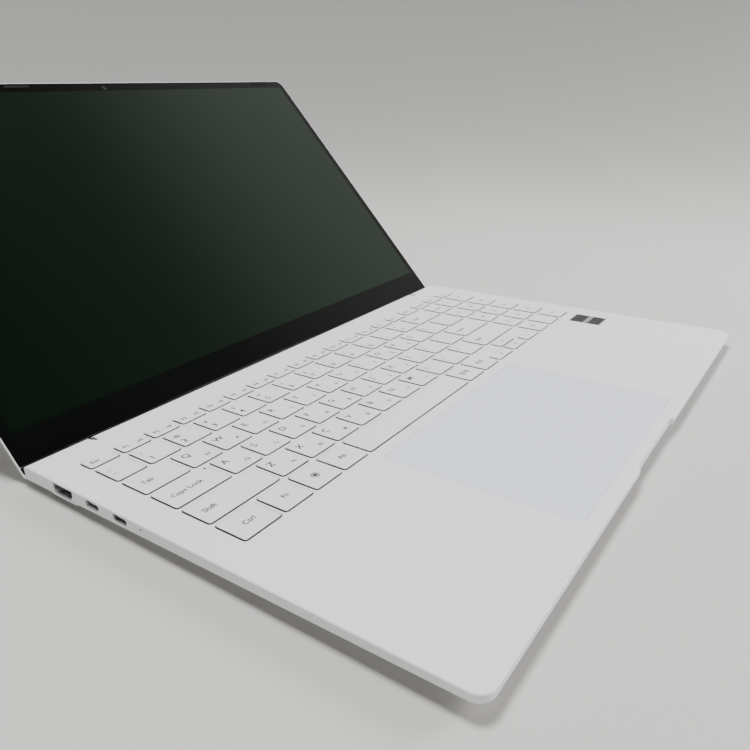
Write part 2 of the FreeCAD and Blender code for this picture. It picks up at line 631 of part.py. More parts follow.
def make_hinges():
    brackets = []
    pins = []
    arms = []
    for side in (-1, 1):
        x = side * HINGE_X
        knuckles = []
        for end in (-1, 1):
            inner = x + end * (ARM_HALF + 0.6)
            outer = x + end * KNUCKLE_END
            low, high = min(inner, outer), max(inner, outer)
            knuckle = cylinder((low, AXIS_Y, AXIS_Z), KNUCKLE_R, high - low, (1, 0, 0))
            web = box(low, high, POCKET_REAR - 3, AXIS_Y, LEAF_Z0, LEAF_Z1)
            knuckles += [knuckle, web]
        middle = x + 2 * side
        leaf = slab(middle - 12, middle + 12, LEAF_FRONT, POCKET_REAR - 2, LEAF_Z0, LEAF_Z1, 1.5)
        bracket = leaf.multiFuse(knuckles)
        length = 2 * KNUCKLE_END
        bracket = bracket.cut(cylinder((x - length, AXIS_Y, AXIS_Z), PIN_R, 2 * length, (1, 0, 0)))
        brackets.append(bracket.removeSplitter())
        pins.append(cylinder((x - KNUCKLE_END, AXIS_Y, AXIS_Z), PIN_R, length, (1, 0, 0)))

        ring = cylinder((x - ARM_HALF, AXIS_Y, AXIS_Z), ARM_R, 2 * ARM_HALF, (1, 0, 0))
        post = box(x - ARM_HALF, x + ARM_HALF, AXIS_Y - ARM_FRONT, AXIS_Y - 1.0, AXIS_Z, LID_IN + 1.6)
        plate = slab(x - 16, x + 16, AXIS_Y - 19, AXIS_Y - 2.2, LID_IN + 1.2, LID_IN + 2.2, 1.0)
        arm = ring.multiFuse([post, plate])
        arm = arm.cut(cylinder((x - 4, AXIS_Y, AXIS_Z), PIN_R + PIN_FIT, 8, (1, 0, 0)))
        arms.append(arm.removeSplitter())
    save("hinge_brackets", group(brackets))
    save("hinge_pins", group(pins))
    save_lid("hinge_arms", group(arms))


# ---------------------------------------------------------------- lid, drawn closed

def lid_block(shrink, z_low, z_high):
    """The lid's outer form, or its hollow when shrunk: flat, with a round rear end."""
    rear = LID_REAR - shrink
    r = LID_END_R - shrink
    start = V(-HALF, rear, z_low)
    bend = V(-HALF, rear, LID_OUT - LID_END_R)
    middle = V(-HALF, LID_REAR - LID_END_R + r * math.sqrt(0.5), LID_OUT - LID_END_R + r * math.sqrt(0.5))
    top = V(-HALF, LID_REAR - LID_END_R, z_high)
    front_top = V(-HALF, 0, z_high)
    front_low = V(-HALF, 0, z_low)
    edges = [
        Part.LineSegment(start, bend).toShape(),
        Part.Arc(bend, middle, top).toShape(),
        Part.LineSegment(top, front_top).toShape(),
        Part.LineSegment(front_top, front_low).toShape(),
        Part.LineSegment(front_low, start).toShape()]
    block = Part.Face(Part.Wire(edges)).extrude(V(WIDTH, 0, 0))
    plan = bevelled_plan(
        -HALF + shrink, HALF - shrink, LID_FRONT + shrink, rear + 0.01,
        FRONT_R - shrink, REAR_R - shrink, z_low - 1, z_high, LID_BEVEL)
    return block.common(plan)


def make_lid():
    """The glass and the hinge cap lie in a recess that leaves only a fine edge of the cover showing."""
    hollow = lid_block(LID_RIM, LID_IN - 1, LID_OUT - LID_BACK_T)
    rear = LID_REAR - LID_RIM
    recess = slab(
        -HALF + LID_EDGE, HALF - LID_EDGE, LID_FRONT + LID_EDGE, rear, LID_IN - 1, LID_IN + GLASS_T + 0.05, REAR_R)
    corners = outline(
        -HALF + LID_EDGE, HALF - LID_EDGE, LID_FRONT + LID_EDGE, rear, FRONT_R - LID_EDGE, REAR_R, LID_IN - 1)
    recess = recess.common(Part.Face(corners).extrude(V(0, 0, 5)))
    save_lid("lid_cover", lid_block(0, LID_IN, LID_OUT).cut([hollow, recess]))

    side = HALF - LID_EDGE - 0.1
    glass_front = LID_FRONT + LID_EDGE + 0.1
    front = LID_FRONT + LID_RIM + 0.1
    plan = Part.Face(outline(-side, side, glass_front, GLASS_REAR, FRONT_R - LID_EDGE - 0.1, 0.5, LID_IN))
    glass = plan.extrude(V(0, 0, GLASS_T)).cut(cylinder((0, CAMERA_Y, LID_IN - 1), CAMERA_R + 0.05, 3, (0, 0, 1)))
    save_lid("display_glass", glass)
    save_lid("webcam_lens", cylinder((0, CAMERA_Y, LID_IN + 0.05), CAMERA_R, GLASS_T - 0.05, (0, 0, 1)))

    top = LID_OUT - LID_BACK_T - 0.1
    save_lid("webcam_module", box(-32, 32, front + 2.0, front + 6.4, LID_IN + 0.9, top))
    wings = both_sides(box(62, 108, front + 2.0, front + 6.4, LID_IN + 0.9, top - 0.6))
    save_lid("antennas", group(wings))
    save_lid("display_panel", slab(-174.0, 174.0, 9.0, 206.5, LID_IN + 0.85, top, 1.0))
    save_lid("display_board", box(-118, 118, 207.5, 220.0, LID_IN + 0.9, top - 0.4))

    cap = slab(-side, side, GLASS_REAR + 0.2, rear - 0.15, LID_IN, LID_IN + GLASS_T, REAR_R - 0.1)
    for x in (-HINGE_X, HINGE_X):
        cap = cap.cut(box(x - 1.3, x + 1.3, AXIS_Y - ARM_FRONT - ARM_FIT, LID_REAR, LID_IN - 1, LID_IN + 2))
    save_lid("hinge_cap", cap)

    pads = []
    for x in BUMPERS_X:
        pads.append(slab(x - 8, x + 8, front + 1.0, front + 2.4, LID_IN - 0.25, LID_IN, 0.65))
    save_lid("lid_bumpers", group(pads))


def main():
    os.makedirs("parts", exist_ok=True)
    keys = key_layout()
    make_top_case(keys)
    make_bottom_cover()
    make_feet_and_screws()
    make_keys(keys)
    make_key_works(keys)
    make_touchpad()
    make_sockets()
    make_battery()
    make_boards()
    make_cooling()
    make_speakers()
    make_hinges()
    make_lid()


main()
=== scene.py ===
"""The looks of a slim white laptop computer, laid out as a Blender add-on and run as a script."""
import json
import math

import bmesh
import bpy
import numpy as np
from mathutils import Matrix, Vector


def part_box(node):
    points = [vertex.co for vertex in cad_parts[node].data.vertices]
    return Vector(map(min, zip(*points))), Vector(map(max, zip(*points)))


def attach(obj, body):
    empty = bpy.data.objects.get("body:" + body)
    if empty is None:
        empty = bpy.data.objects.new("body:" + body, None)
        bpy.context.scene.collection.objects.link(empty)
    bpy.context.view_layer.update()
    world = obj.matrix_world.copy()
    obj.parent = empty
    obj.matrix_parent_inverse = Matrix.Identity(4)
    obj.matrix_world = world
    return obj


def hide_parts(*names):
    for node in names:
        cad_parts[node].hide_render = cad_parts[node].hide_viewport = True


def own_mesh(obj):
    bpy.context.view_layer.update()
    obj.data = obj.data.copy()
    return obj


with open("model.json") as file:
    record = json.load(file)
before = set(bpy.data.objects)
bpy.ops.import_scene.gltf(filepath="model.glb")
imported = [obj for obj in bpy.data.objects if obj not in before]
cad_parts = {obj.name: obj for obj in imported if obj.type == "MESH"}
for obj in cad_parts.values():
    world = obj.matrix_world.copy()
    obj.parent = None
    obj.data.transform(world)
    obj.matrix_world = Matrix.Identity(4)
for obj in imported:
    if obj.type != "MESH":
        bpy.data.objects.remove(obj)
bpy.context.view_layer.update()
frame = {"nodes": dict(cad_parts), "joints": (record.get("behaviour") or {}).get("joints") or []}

NODES = frame["nodes"]
JOINTS = {joint["name"]: joint for joint in frame["joints"]}
MM = 0.001

bl_info = {
    "name": "Slim Laptop Builder",
    "version": (1, 0, 0),
    "blender": (4, 5, 0),
    "location": "View3D > Sidebar > Laptop",
    "description": "Builds the visible parts and finishes of a slim laptop around its engineering model",
    "category": "Add Mesh",
}

KEY_NODES = (
    "function_keys", "power_key", "number_keys", "backspace_key", "tab_key", "upper_letter_keys",
    "caps_lock_key", "home_letter_keys", "enter_key", "left_shift_key", "lower_letter_keys",
    "right_shift_key", "modifier_keys", "space_bar", "arrow_keys", "numpad_keys")

# Generic legends, in the order in which sorted_caps() lists the keys of a node.
LATIN = {
    "function_keys": ["Esc"] + [f"F{i}" for i in range(1, 13)] + ["Ins", "Prt", "Del", "Home", "End"],
    "number_keys": list("`1234567890-="),
    "upper_letter_keys": list("QWERTYUIOP[]\\"),
    "home_letter_keys": list("ASDFGHJKL;'"),
    "lower_letter_keys": list("ZXCVBNM,./"),
    "numpad_keys": ["Num", "/", "*", "7", "8", "9", "4", "5", "6", "1", "2", "3", "0", ".", "+"],
}
SHIFTED = {
    "number_keys": list("~!@#$%^&*()_+"),
    "lower_letter_keys": [""] * 7 + list("<>?"),
}
JAMO = {
    "upper_letter_keys": list("ㅂㅈㄷㄱㅅㅛㅕㅑㅐㅔ"),
    "home_letter_keys": list("ㅁㄴㅇㄹㅎㅗㅓㅏㅣ"),
    "lower_letter_keys": list("ㅋㅌㅊㅍㅠㅜㅡ"),
}
WORDS = {
    "tab_key": ["Tab"],
    "caps_lock_key": ["Caps Lock"],
    "left_shift_key": ["Shift"],
    "right_shift_key": ["Shift"],
    "enter_key": ["Enter"],
    "backspace_key": ["Back"],
    "modifier_keys": ["Ctrl", "Fn", "", "Alt", "한/영", "한자"],
}


# Where a written legend starts on its key: margins from the key's sides, and its baseline's distance
# below the key's middle (drop), below its rear edge (letter drop) or above its front edge (rise).
LETTER_MARGIN = 2.6 * MM
WORD_MARGIN = 4.2 * MM
JAMO_MARGIN = 3.0 * MM
SMALL_DROP = 0.9 * MM
NUMPAD_DROP = 1.3 * MM
MODIFIER_DROP = 1.2 * MM
WORD_DROP = 1.0 * MM
LETTER_DROP = 6.9 * MM
FIGURE_RISE = 3.2 * MM
JAMO_RISE = 3.4 * MM
SHIFTED_RISE = 0.6 * MM         # above the letter's line

# Drawn marks. A ring is given as its inner and outer radius.
LEVEL_MARGIN = 5.0 * MM
LEVEL_STEP = 1.1 * MM
LEVEL_WIDTH = 0.7 * MM
LEVEL_DROP = 1.1 * MM
LEVEL_HIGH = 0.1 * MM
LEVEL_RISE = 0.6 * MM
POWER_RING = (1.1 * MM, 1.45 * MM)
POWER_BAR = 0.13 * MM
HOME_RING = (1.5 * MM, 2.05 * MM)
HOME_DOT = 1.15 * MM
ARROW = 1.15 * MM
ARROW_TURNS = (0, 180, 270, 0)

PRINT = 0.02 * MM               # how far a printed or inlaid spot stands out
PAD_FIT = 0.3 * MM              # the engineering gap round the touchpad
PAD_CORNER = 1.4 * MM
PAD_EDGE = 0.10 * MM
LABEL_CORNER = 0.6 * MM
LABEL_EDGE = 0.03 * MM
LABEL_BORDER = 0.7 * MM
LABEL_FIELDS = ((0.0, 0.40), (0.56, 1.0))   # the dark fields, as shares of the label's depth
FIELD_CORNER = 0.3 * MM
GLASS_CORNERS = (5.65 * MM, 5.65 * MM, 0.4 * MM, 0.4 * MM)
PICTURE_CORNER = 0.3 * MM
CAMERA_LIGHT_X = 7 * MM
CAMERA_LIGHT_R = 0.45 * MM
CAPS_LIGHT_X = 2.2 * MM
CAPS_LIGHT_Y = 2.0 * MM
CAPS_LIGHT_R = 0.7 * MM

# Socket contacts: how many, how wide, and how far above the socket's middle.
WIDE_FINGERS = (10, 0.35 * MM, 0.83 * MM)
SMALL_FINGERS = (6, 0.3 * MM, 0.37 * MM)
FINGER_SPAN = 0.55
FINGER_SETBACK = 2.4 * MM
FINGER_LENGTH = 5 * MM
FINGER_THICKNESS = 0.03 * MM

GLASS_IOR = 1.5
GRAIN_DEPTH = 0.1 * MM

# The studio: each light's place, target and width, and the surround from its dim to its pale side.
STUDIO_LIGHTS = (
    ("top_light", (0.10, 0.20, 1.75), (0.0, 0.0, 0.0), 0.6),
    ("front_light", (0.92, -1.02, 0.54), (0.05, -0.15, 0.0), 0.5),
    ("left_light", (-1.30, -0.50, 0.45), (-0.18, -0.10, 0.0), 0.7))
PALE_SIDE = (0.85, 0.35, -0.10)
SURROUND = (
    (0.10, (0.03, 0.03, 0.03, 1)), (0.28, (0.16, 0.17, 0.16, 1)),
    (0.50, (0.86, 0.88, 0.85, 1)), (0.85, (1.0, 1.0, 0.98, 1)))
NEAREST = 0.01                  # the camera's near limit
BOWL_RINGS = 24
BOWL_SIDES = 96
BOWL_POWER = 2.2
FLOOR_DROP = 0.05 * MM          # keeps the floor just under the feet
FLOOR_FADE = 0.045              # height over which painted shade darkens the floor's colour
# Painted shade: how dark the floor's colour becomes high up the bowl, as a share of its own colour.
PAINTED_WALL_SHADE = 0.60


# ---------------------------------------------------------------- settings

def length(name, description, default_mm):
    return bpy.props.FloatProperty(
        name=name, description=description, default=default_mm * MM, unit="LENGTH", precision=5)


def colour(name, description, default):
    return bpy.props.FloatVectorProperty(
        name=name, description=description, default=default, subtype="COLOR", min=0, max=1, size=3)


class LaptopSizes(bpy.types.PropertyGroup):
    """Sizes of the drawn details."""
    key_round: length("Key edge round", "Radius of the soft edge round the top of a key", 0.08)
    key_slit: length("Key slit", "How much wider than its engineering gap the slit round a key looks", 0.16)
    key_corner: length("Key corner", "Radius of a key's corners in plan", 1.0)
    letter_height: length("Letter size", "Text size of a letter on a key", 5.3)
    jamo_height: length("Second letter size", "Text size of the second script's letter", 4.0)
    word_height: length("Word size", "Text size of a word on a key", 3.8)
    small_height: length("Small word size", "Text size on the half-height keys", 3.3)
    ink_weight: length("Ink weight", "How much the strokes of a legend are thickened", 0.09)
    ink_thickness: length("Ink thickness", "How far a printed legend stands above its key", 0.012)
    pad_gap: length("Touchpad gap", "Gap that shows round the touchpad", 0.12)
    screen_side: length("Screen side border", "Black border at each side of the picture area", 5.25)
    screen_top: length("Screen top border", "Black border above the picture area", 6.4)
    screen_chin: length("Screen chin", "Black border below the picture area", 16.2)
    glass_round: length("Glass edge round", "Radius of the polished edge of the front glass", 0.18)


class LaptopColours(bpy.types.PropertyGroup):
    """Colours of the finishes."""
    shell: colour("Shell", "White paint of the casing", (0.80, 0.80, 0.80))
    keycap: colour("Keycap", "Moulded keycap plastic", (0.80, 0.79, 0.82))
    # Painted shade: keycap sides get this dark colour to stand in for the shade down in the key wells; the
    # real sides are as white as the tops.
    painted_side_shade: colour("Key skirt", "Shaded sides of a keycap, down in its well", (0.075, 0.075, 0.08))
    ink: colour("Ink", "Key legends", (0.02, 0.02, 0.022))
    touchpad: colour("Touchpad", "Etched glass of the touchpad", (0.74, 0.75, 0.89))
    border: colour("Screen border", "Ink behind the front glass", (0.0025, 0.003, 0.0027))
    screen: colour("Screen", "Switched-off picture area", (0.0022, 0.0050, 0.0028))
    rubber: colour("Rubber", "Feet and bumpers", (0.42, 0.42, 0.43))
    floor: colour("Floor", "Seamless floor", (0.585, 0.573, 0.557))


class StageSettings(bpy.types.PropertyGroup):
    """The camera and the studio."""
    camera_place: bpy.props.FloatVectorProperty(
        name="Camera place", description="Where the camera stands", subtype="TRANSLATION",
        default=(-0.3043, -0.2655, 0.1621), precision=4)
    camera_turn: bpy.props.FloatVectorProperty(
        name="Camera turn", description="Camera rotation", subtype="EULER",
        default=(math.radians(67.29), math.radians(1.21), math.radians(-55.04)))
    lens: bpy.props.FloatProperty(name="Lens", description="Focal length in millimetres", default=32.86)
    floor_radius: bpy.props.FloatProperty(
        name="Floor radius", description="Flat part of the studio bowl", default=0.40, unit="LENGTH")
    bowl_radius: bpy.props.FloatProperty(
        name="Bowl radius", description="Radius of the studio bowl's rim", default=1.65, unit="LENGTH")
    bowl_height: bpy.props.FloatProperty(
        name="Bowl height", description="Height of the studio bowl's rim", default=0.64, unit="LENGTH")
    top_light: bpy.props.FloatProperty(name="Top light", description="Power in watts", default=40.0)
    front_light: bpy.props.FloatProperty(name="Front light", description="Power in watts", default=24.0)
    left_light: bpy.props.FloatProperty(name="Left light", description="Power in watts", default=6.0)
    sky: bpy.props.FloatProperty(
        name="Sky", description="Strength of the studio's soft surround", default=0.8)


def sizes():
    return bpy.context.scene.laptop_sizes


def colours():
    return bpy.context.scene.laptop_colours


# ---------------------------------------------------------------- mesh helpers

def object_from(name, bm, materials, smooth=False):
    """Turns a bmesh into a named object with its materials."""
    bmesh.ops.recalc_face_normals(bm, faces=bm.faces)
    mesh = bpy.data.meshes.new(name)
    bm.to_mesh(mesh)
    bm.free()
    for material in materials:
        mesh.materials.append(material)
    if smooth:
        for polygon in mesh.polygons:
            polygon.use_smooth = True
    made = bpy.data.objects.new(name, mesh)
    bpy.context.scene.collection.objects.link(made)
    return made


def place(made, body, node=None):
    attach(made, body)
    if node:
        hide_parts(node)
    return made


def round_rectangle(x0, x1, y0, y1, radii, steps):
    """Points round a rectangle, anticlockwise from the low corner; radii are given corner by corner."""
    corners = ((x0, y0, 180), (x1, y0, 270), (x1, y1, 0), (x0, y1, 90))
    points = []
    for (x, y, start), r in zip(corners, radii):
        cx = x + r if x == x0 else x - r
        cy = y + r if y == y0 else y - r
        for i in range(steps + 1):
            a = math.radians(start + 90 * i / steps)
            points.append((cx + r * math.cos(a), cy + r * math.sin(a)))
    return points


def ring(bm, points, z):
    return [bm.verts.new((x, y, z)) for x, y in points]


def bridge(bm, low, high, smooth=True, material=0):
    count = len(low)
    for i in range(count):
        j = (i + 1) % count
        face = bm.faces.new((low[i], low[j], high[j], high[i]))
        face.smooth = smooth
        face.material_index = material


def cap(bm, loop, material=0):
    face = bm.faces.new(loop)
    face.material_index = material
    return face


def soft_slab(bm, x0, x1, y0, y1, z0, z1, corner, edge, steps=5, edge_steps=3, painted_side_shade=0):
    """A slab with round corners and a rolled upper edge; painted_side_shade is the material index of its
    sides, which paints shade on a keycap's sides.
    """
    def loop(inset, z):
        r = max(corner - inset, 0.02 * MM)
        return ring(bm, round_rectangle(x0 + inset, x1 - inset, y0 + inset, y1 - inset, [r] * 4, steps), z)

    below = loop(0, z0)
    cap(bm, below)
    for i in range(edge_steps + 1):
        a = math.pi / 2 * i / edge_steps
        above = loop(edge * (1 - math.cos(a)), z1 - edge * (1 - math.sin(a)))
        # The lowest band, the upright side, takes the painted shade material when one is given.
        bridge(bm, below, above, material=0 if i else painted_side_shade)
        below = above
    cap(bm, below)


def circle(centre, radius, steps):
    """Points round a circle, anticlockwise."""
    turn = [2 * math.pi * i / steps for i in range(steps)]
    return [(centre[0] + radius * math.cos(a), centre[1] + radius * math.sin(a)) for a in turn]


def tube(bm, centre, z0, z1, inner, outer, steps=28):
    """A flat ring about a vertical line through centre."""
    corners = ((outer, z0), (outer, z1), (inner, z1), (inner, z0))
    loops = [ring(bm, circle(centre, r, steps), z) for r, z in corners]
    for i in range(4):
        bridge(bm, loops[i], loops[(i + 1) % 4])


def solid_polygon(bm, points, z0, z1, smooth=False, material=0):
    """A flat plate with the given outline."""
    low = ring(bm, points, z0)
    high = ring(bm, points, z1)
    bridge(bm, low, high, smooth=smooth, material=material)
    cap(bm, low, material)
    cap(bm, high, material)


def disc(bm, centre, z0, z1, radius, steps=24, material=0):
    solid_polygon(bm, circle(centre, radius, steps), z0, z1, smooth=True, material=material)


def oblong(x0, x1, y0, y1):
    """The four corners of a rectangle, anticlockwise."""
    return [(x0, y0), (x1, y0), (x1, y1), (x0, y1)]


def separate_solids(bm):
    """Lists the vertices of each separate solid of a bmesh."""
    bmesh.ops.remove_doubles(bm, verts=bm.verts, dist=1e-6)
    found = []
    seen = set()
    for vert in bm.verts:
        if vert in seen:
            continue
        stack = [vert]
        seen.add(vert)
        members = []
        while stack:
            here = stack.pop()
            members.append(here)
            for edge in here.link_edges:
                other = edge.other_vert(here)
                if other not in seen:
                    seen.add(other)
                    stack.append(other)
        found.append(members)
    return found


def box_of(verts):
    """Low and high corner of some vertices."""
    co = np.array([vert.co for vert in verts])
    return Vector(co.min(0)), Vector(co.max(0))


def islands(node, matrix=None):
    """Box (low corner, high corner) of each separate solid of a CAD node."""
    bm = bmesh.new()
    bm.from_mesh(NODES[node].data)
    if matrix is not None:
        bm.transform(matrix)
    boxes = [box_of(verts) for verts in separate_solids(bm)]
    bm.free()
    return boxes


def sorted_caps(node):
    """Boxes of a node's keycaps, rear row first and from left to right."""
    return sorted(islands(node), key=lambda b: (-round(b[0].y / (8 * MM)), b[0].x))


def lid_matrix():
    """Turns the lid from closed to its rest pose."""
    hinge = JOINTS["lid_hinge"]
    pivot = Matrix.Translation(Vector(hinge["pos_m"]))
    opening = -math.radians(hinge["range_deg"][0])
    return pivot @ Matrix.Rotation(opening, 4, Vector(hinge["axis"])) @ pivot.inverted()


def lid_box(node):
    """Box of a lid node with the lid closed."""
    boxes = islands(node, lid_matrix().inverted())
    low = Vector([min(b[0][i] for b in boxes) for i in range(3)])
    high = Vector([max(b[1][i] for b in boxes) for i in range(3)])
    return low, high


def text_into(bm, body, size, x, y, z, thickness, align="LEFT"):
    """Adds a thin solid text to a bmesh, its lower left or lower middle at x, y."""
    curve = bpy.data.curves.new("legend", "FONT")
    curve.body = body
    curve.size = size
    curve.resolution_u = 2
    curve.extrude = thickness / 2
    curve.offset = sizes().ink_weight
    curve.align_x = align
    holder = bpy.data.objects.new("legend", curve)
    bpy.context.scene.collection.objects.link(holder)
    depsgraph = bpy.context.evaluated_depsgraph_get()
    mesh = bpy.data.meshes.new_from_object(holder.evaluated_get(depsgraph))
    mesh.transform(Matrix.Translation((x, y, z + thickness / 2)))
    bm.from_mesh(mesh)
    bpy.data.objects.remove(holder)
    bpy.data.curves.remove(curve)
    bpy.data.meshes.remove(mesh)


# ---------------------------------------------------------------- shader groups

def new_group(name, inputs, outputs):
    """A shader node group with its sockets; inputs and outputs are (name, kind, default) rows."""
    group = bpy.data.node_groups.new(name, "ShaderNodeTree")
    for label, kind, default in inputs:
        socket = group.interface.new_socket(name=label, in_out="INPUT", socket_type=kind)
        socket.default_value = default
    for label, kind in outputs:
        group.interface.new_socket(name=label, in_out="OUTPUT", socket_type=kind)
    start = group.nodes.new("NodeGroupInput")
    end = group.nodes.new("NodeGroupOutput")
    return group, start, end


def math_node(tree, operation, a, b=None, c=None):
    node = tree.nodes.new("ShaderNodeMath")
    node.operation = operation
    for i, value in enumerate((a, b, c)):
        if value is None:
            continue
        if isinstance(value, (int, float)):
            node.inputs[i].default_value = value
        else:
            tree.links.new(value, node.inputs[i])
    return node.outputs[0]


def grain_group():
    """Fine surface grain: a height for bump and a roughness that varies a little."""
    group, start, end = new_group(
        "fine_grain",
        [("Scale", "NodeSocketFloat", 900.0), ("Roughness", "NodeSocketFloat", 0.5),
         ("Variation", "NodeSocketFloat", 0.05)],
        [("Height", "NodeSocketFloat"), ("Roughness", "NodeSocketFloat")])
    coords = group.nodes.new("ShaderNodeTexCoord")
    noise = group.nodes.new("ShaderNodeTexNoise")
    noise.inputs["Detail"].default_value = 2.0
    group.links.new(coords.outputs["Object"], noise.inputs["Vector"])
    group.links.new(start.outputs["Scale"], noise.inputs["Scale"])
    cloud = group.nodes.new("ShaderNodeTexNoise")
    cloud.inputs["Scale"].default_value = 14.0
    cloud.inputs["Detail"].default_value = 3.0
    group.links.new(coords.outputs["Object"], cloud.inputs["Vector"])
    shifted = math_node(group, "SUBTRACT", cloud.outputs["Fac"], 0.5)
    spread = math_node(group, "MULTIPLY", shifted, start.outputs["Variation"])
    rough = math_node(group, "ADD", spread, start.outputs["Roughness"])
    group.links.new(noise.outputs["Fac"], end.inputs["Height"])
    group.links.new(rough, end.inputs["Roughness"])
    return group


def mottle_group():
    """Two nearby colours mixed by a soft cloud, with a sparse scatter of dust."""
    group, start, end = new_group(
        "soft_mottle",
        [("Colour", "NodeSocketColor", (0.8, 0.8, 0.8, 1)),
         ("Shade", "NodeSocketColor", (0.75, 0.75, 0.75, 1)),
         ("Scale", "NodeSocketFloat", 6.0), ("Dust", "NodeSocketFloat", 0.0)],
        [("Colour", "NodeSocketColor")])
    coords = group.nodes.new("ShaderNodeTexCoord")
    cloud = group.nodes.new("ShaderNodeTexNoise")
    cloud.inputs["Detail"].default_value = 4.0
    group.links.new(coords.outputs["Object"], cloud.inputs["Vector"])
    group.links.new(start.outputs["Scale"], cloud.inputs["Scale"])
    mix = group.nodes.new("ShaderNodeMix")
    mix.data_type = "RGBA"
    group.links.new(cloud.outputs["Fac"], mix.inputs["Factor"])
    group.links.new(start.outputs["Colour"], mix.inputs["A"])
    group.links.new(start.outputs["Shade"], mix.inputs["B"])
    speck = group.nodes.new("ShaderNodeTexVoronoi")
    speck.inputs["Scale"].default_value = 260.0
    group.links.new(coords.outputs["Object"], speck.inputs["Vector"])
    near = math_node(group, "LESS_THAN", speck.outputs["Distance"], 0.06)
    amount = math_node(group, "MULTIPLY", near, start.outputs["Dust"])
    dusty = group.nodes.new("ShaderNodeMix")
    dusty.data_type = "RGBA"
    dusty.inputs["B"].default_value = (0.55, 0.54, 0.52, 1)
    group.links.new(amount, dusty.inputs["Factor"])
    group.links.new(mix.outputs["Result"], dusty.inputs["A"])
    group.links.new(dusty.outputs["Result"], end.inputs["Colour"])
    return group


def finish(name, colour_a, colour_b, roughness, variation=0.05, grain=900.0, bump=0.02, dust=0.0,
           mottle=6.0, metallic=0.0, specular=0.5, coat=0.0, tint=None):
    """A material made of the two shared groups and one Principled shader."""
    material = bpy.data.materials.new(name)
    material.use_nodes = True
    tree = material.node_tree
    shader = tree.nodes["Principled BSDF"]
    paint = tree.nodes.new("ShaderNodeGroup")
    paint.node_tree = bpy.data.node_groups["soft_mottle"]
    paint.inputs["Colour"].default_value = (*colour_a, 1)
    paint.inputs["Shade"].default_value = (*colour_b, 1)
    paint.inputs["Scale"].default_value = mottle
    paint.inputs["Dust"].default_value = dust
    texture = tree.nodes.new("ShaderNodeGroup")
    texture.node_tree = bpy.data.node_groups["fine_grain"]
    texture.inputs["Scale"].default_value = grain
    texture.inputs["Roughness"].default_value = roughness
    texture.inputs["Variation"].default_value = variation
    relief = tree.nodes.new("ShaderNodeBump")
    relief.inputs["Strength"].default_value = bump
    relief.inputs["Distance"].default_value = GRAIN_DEPTH
    tree.links.new(paint.outputs["Colour"], shader.inputs["Base Color"])
    tree.links.new(texture.outputs["Roughness"], shader.inputs["Roughness"])
    tree.links.new(texture.outputs["Height"], relief.inputs["Height"])
    tree.links.new(relief.outputs["Normal"], shader.inputs["Normal"])
    shader.inputs["Metallic"].default_value = metallic
    shader.inputs["Specular IOR Level"].default_value = specular
    shader.inputs["Coat Weight"].default_value = coat
    shader.inputs["IOR"].default_value = GLASS_IOR
    if tint:
        shader.inputs["Specular Tint"].default_value = (*tint, 1)
    return material


def shade_of(rgb, factor):
    return tuple(min(1.0, c * factor) for c in rgb)


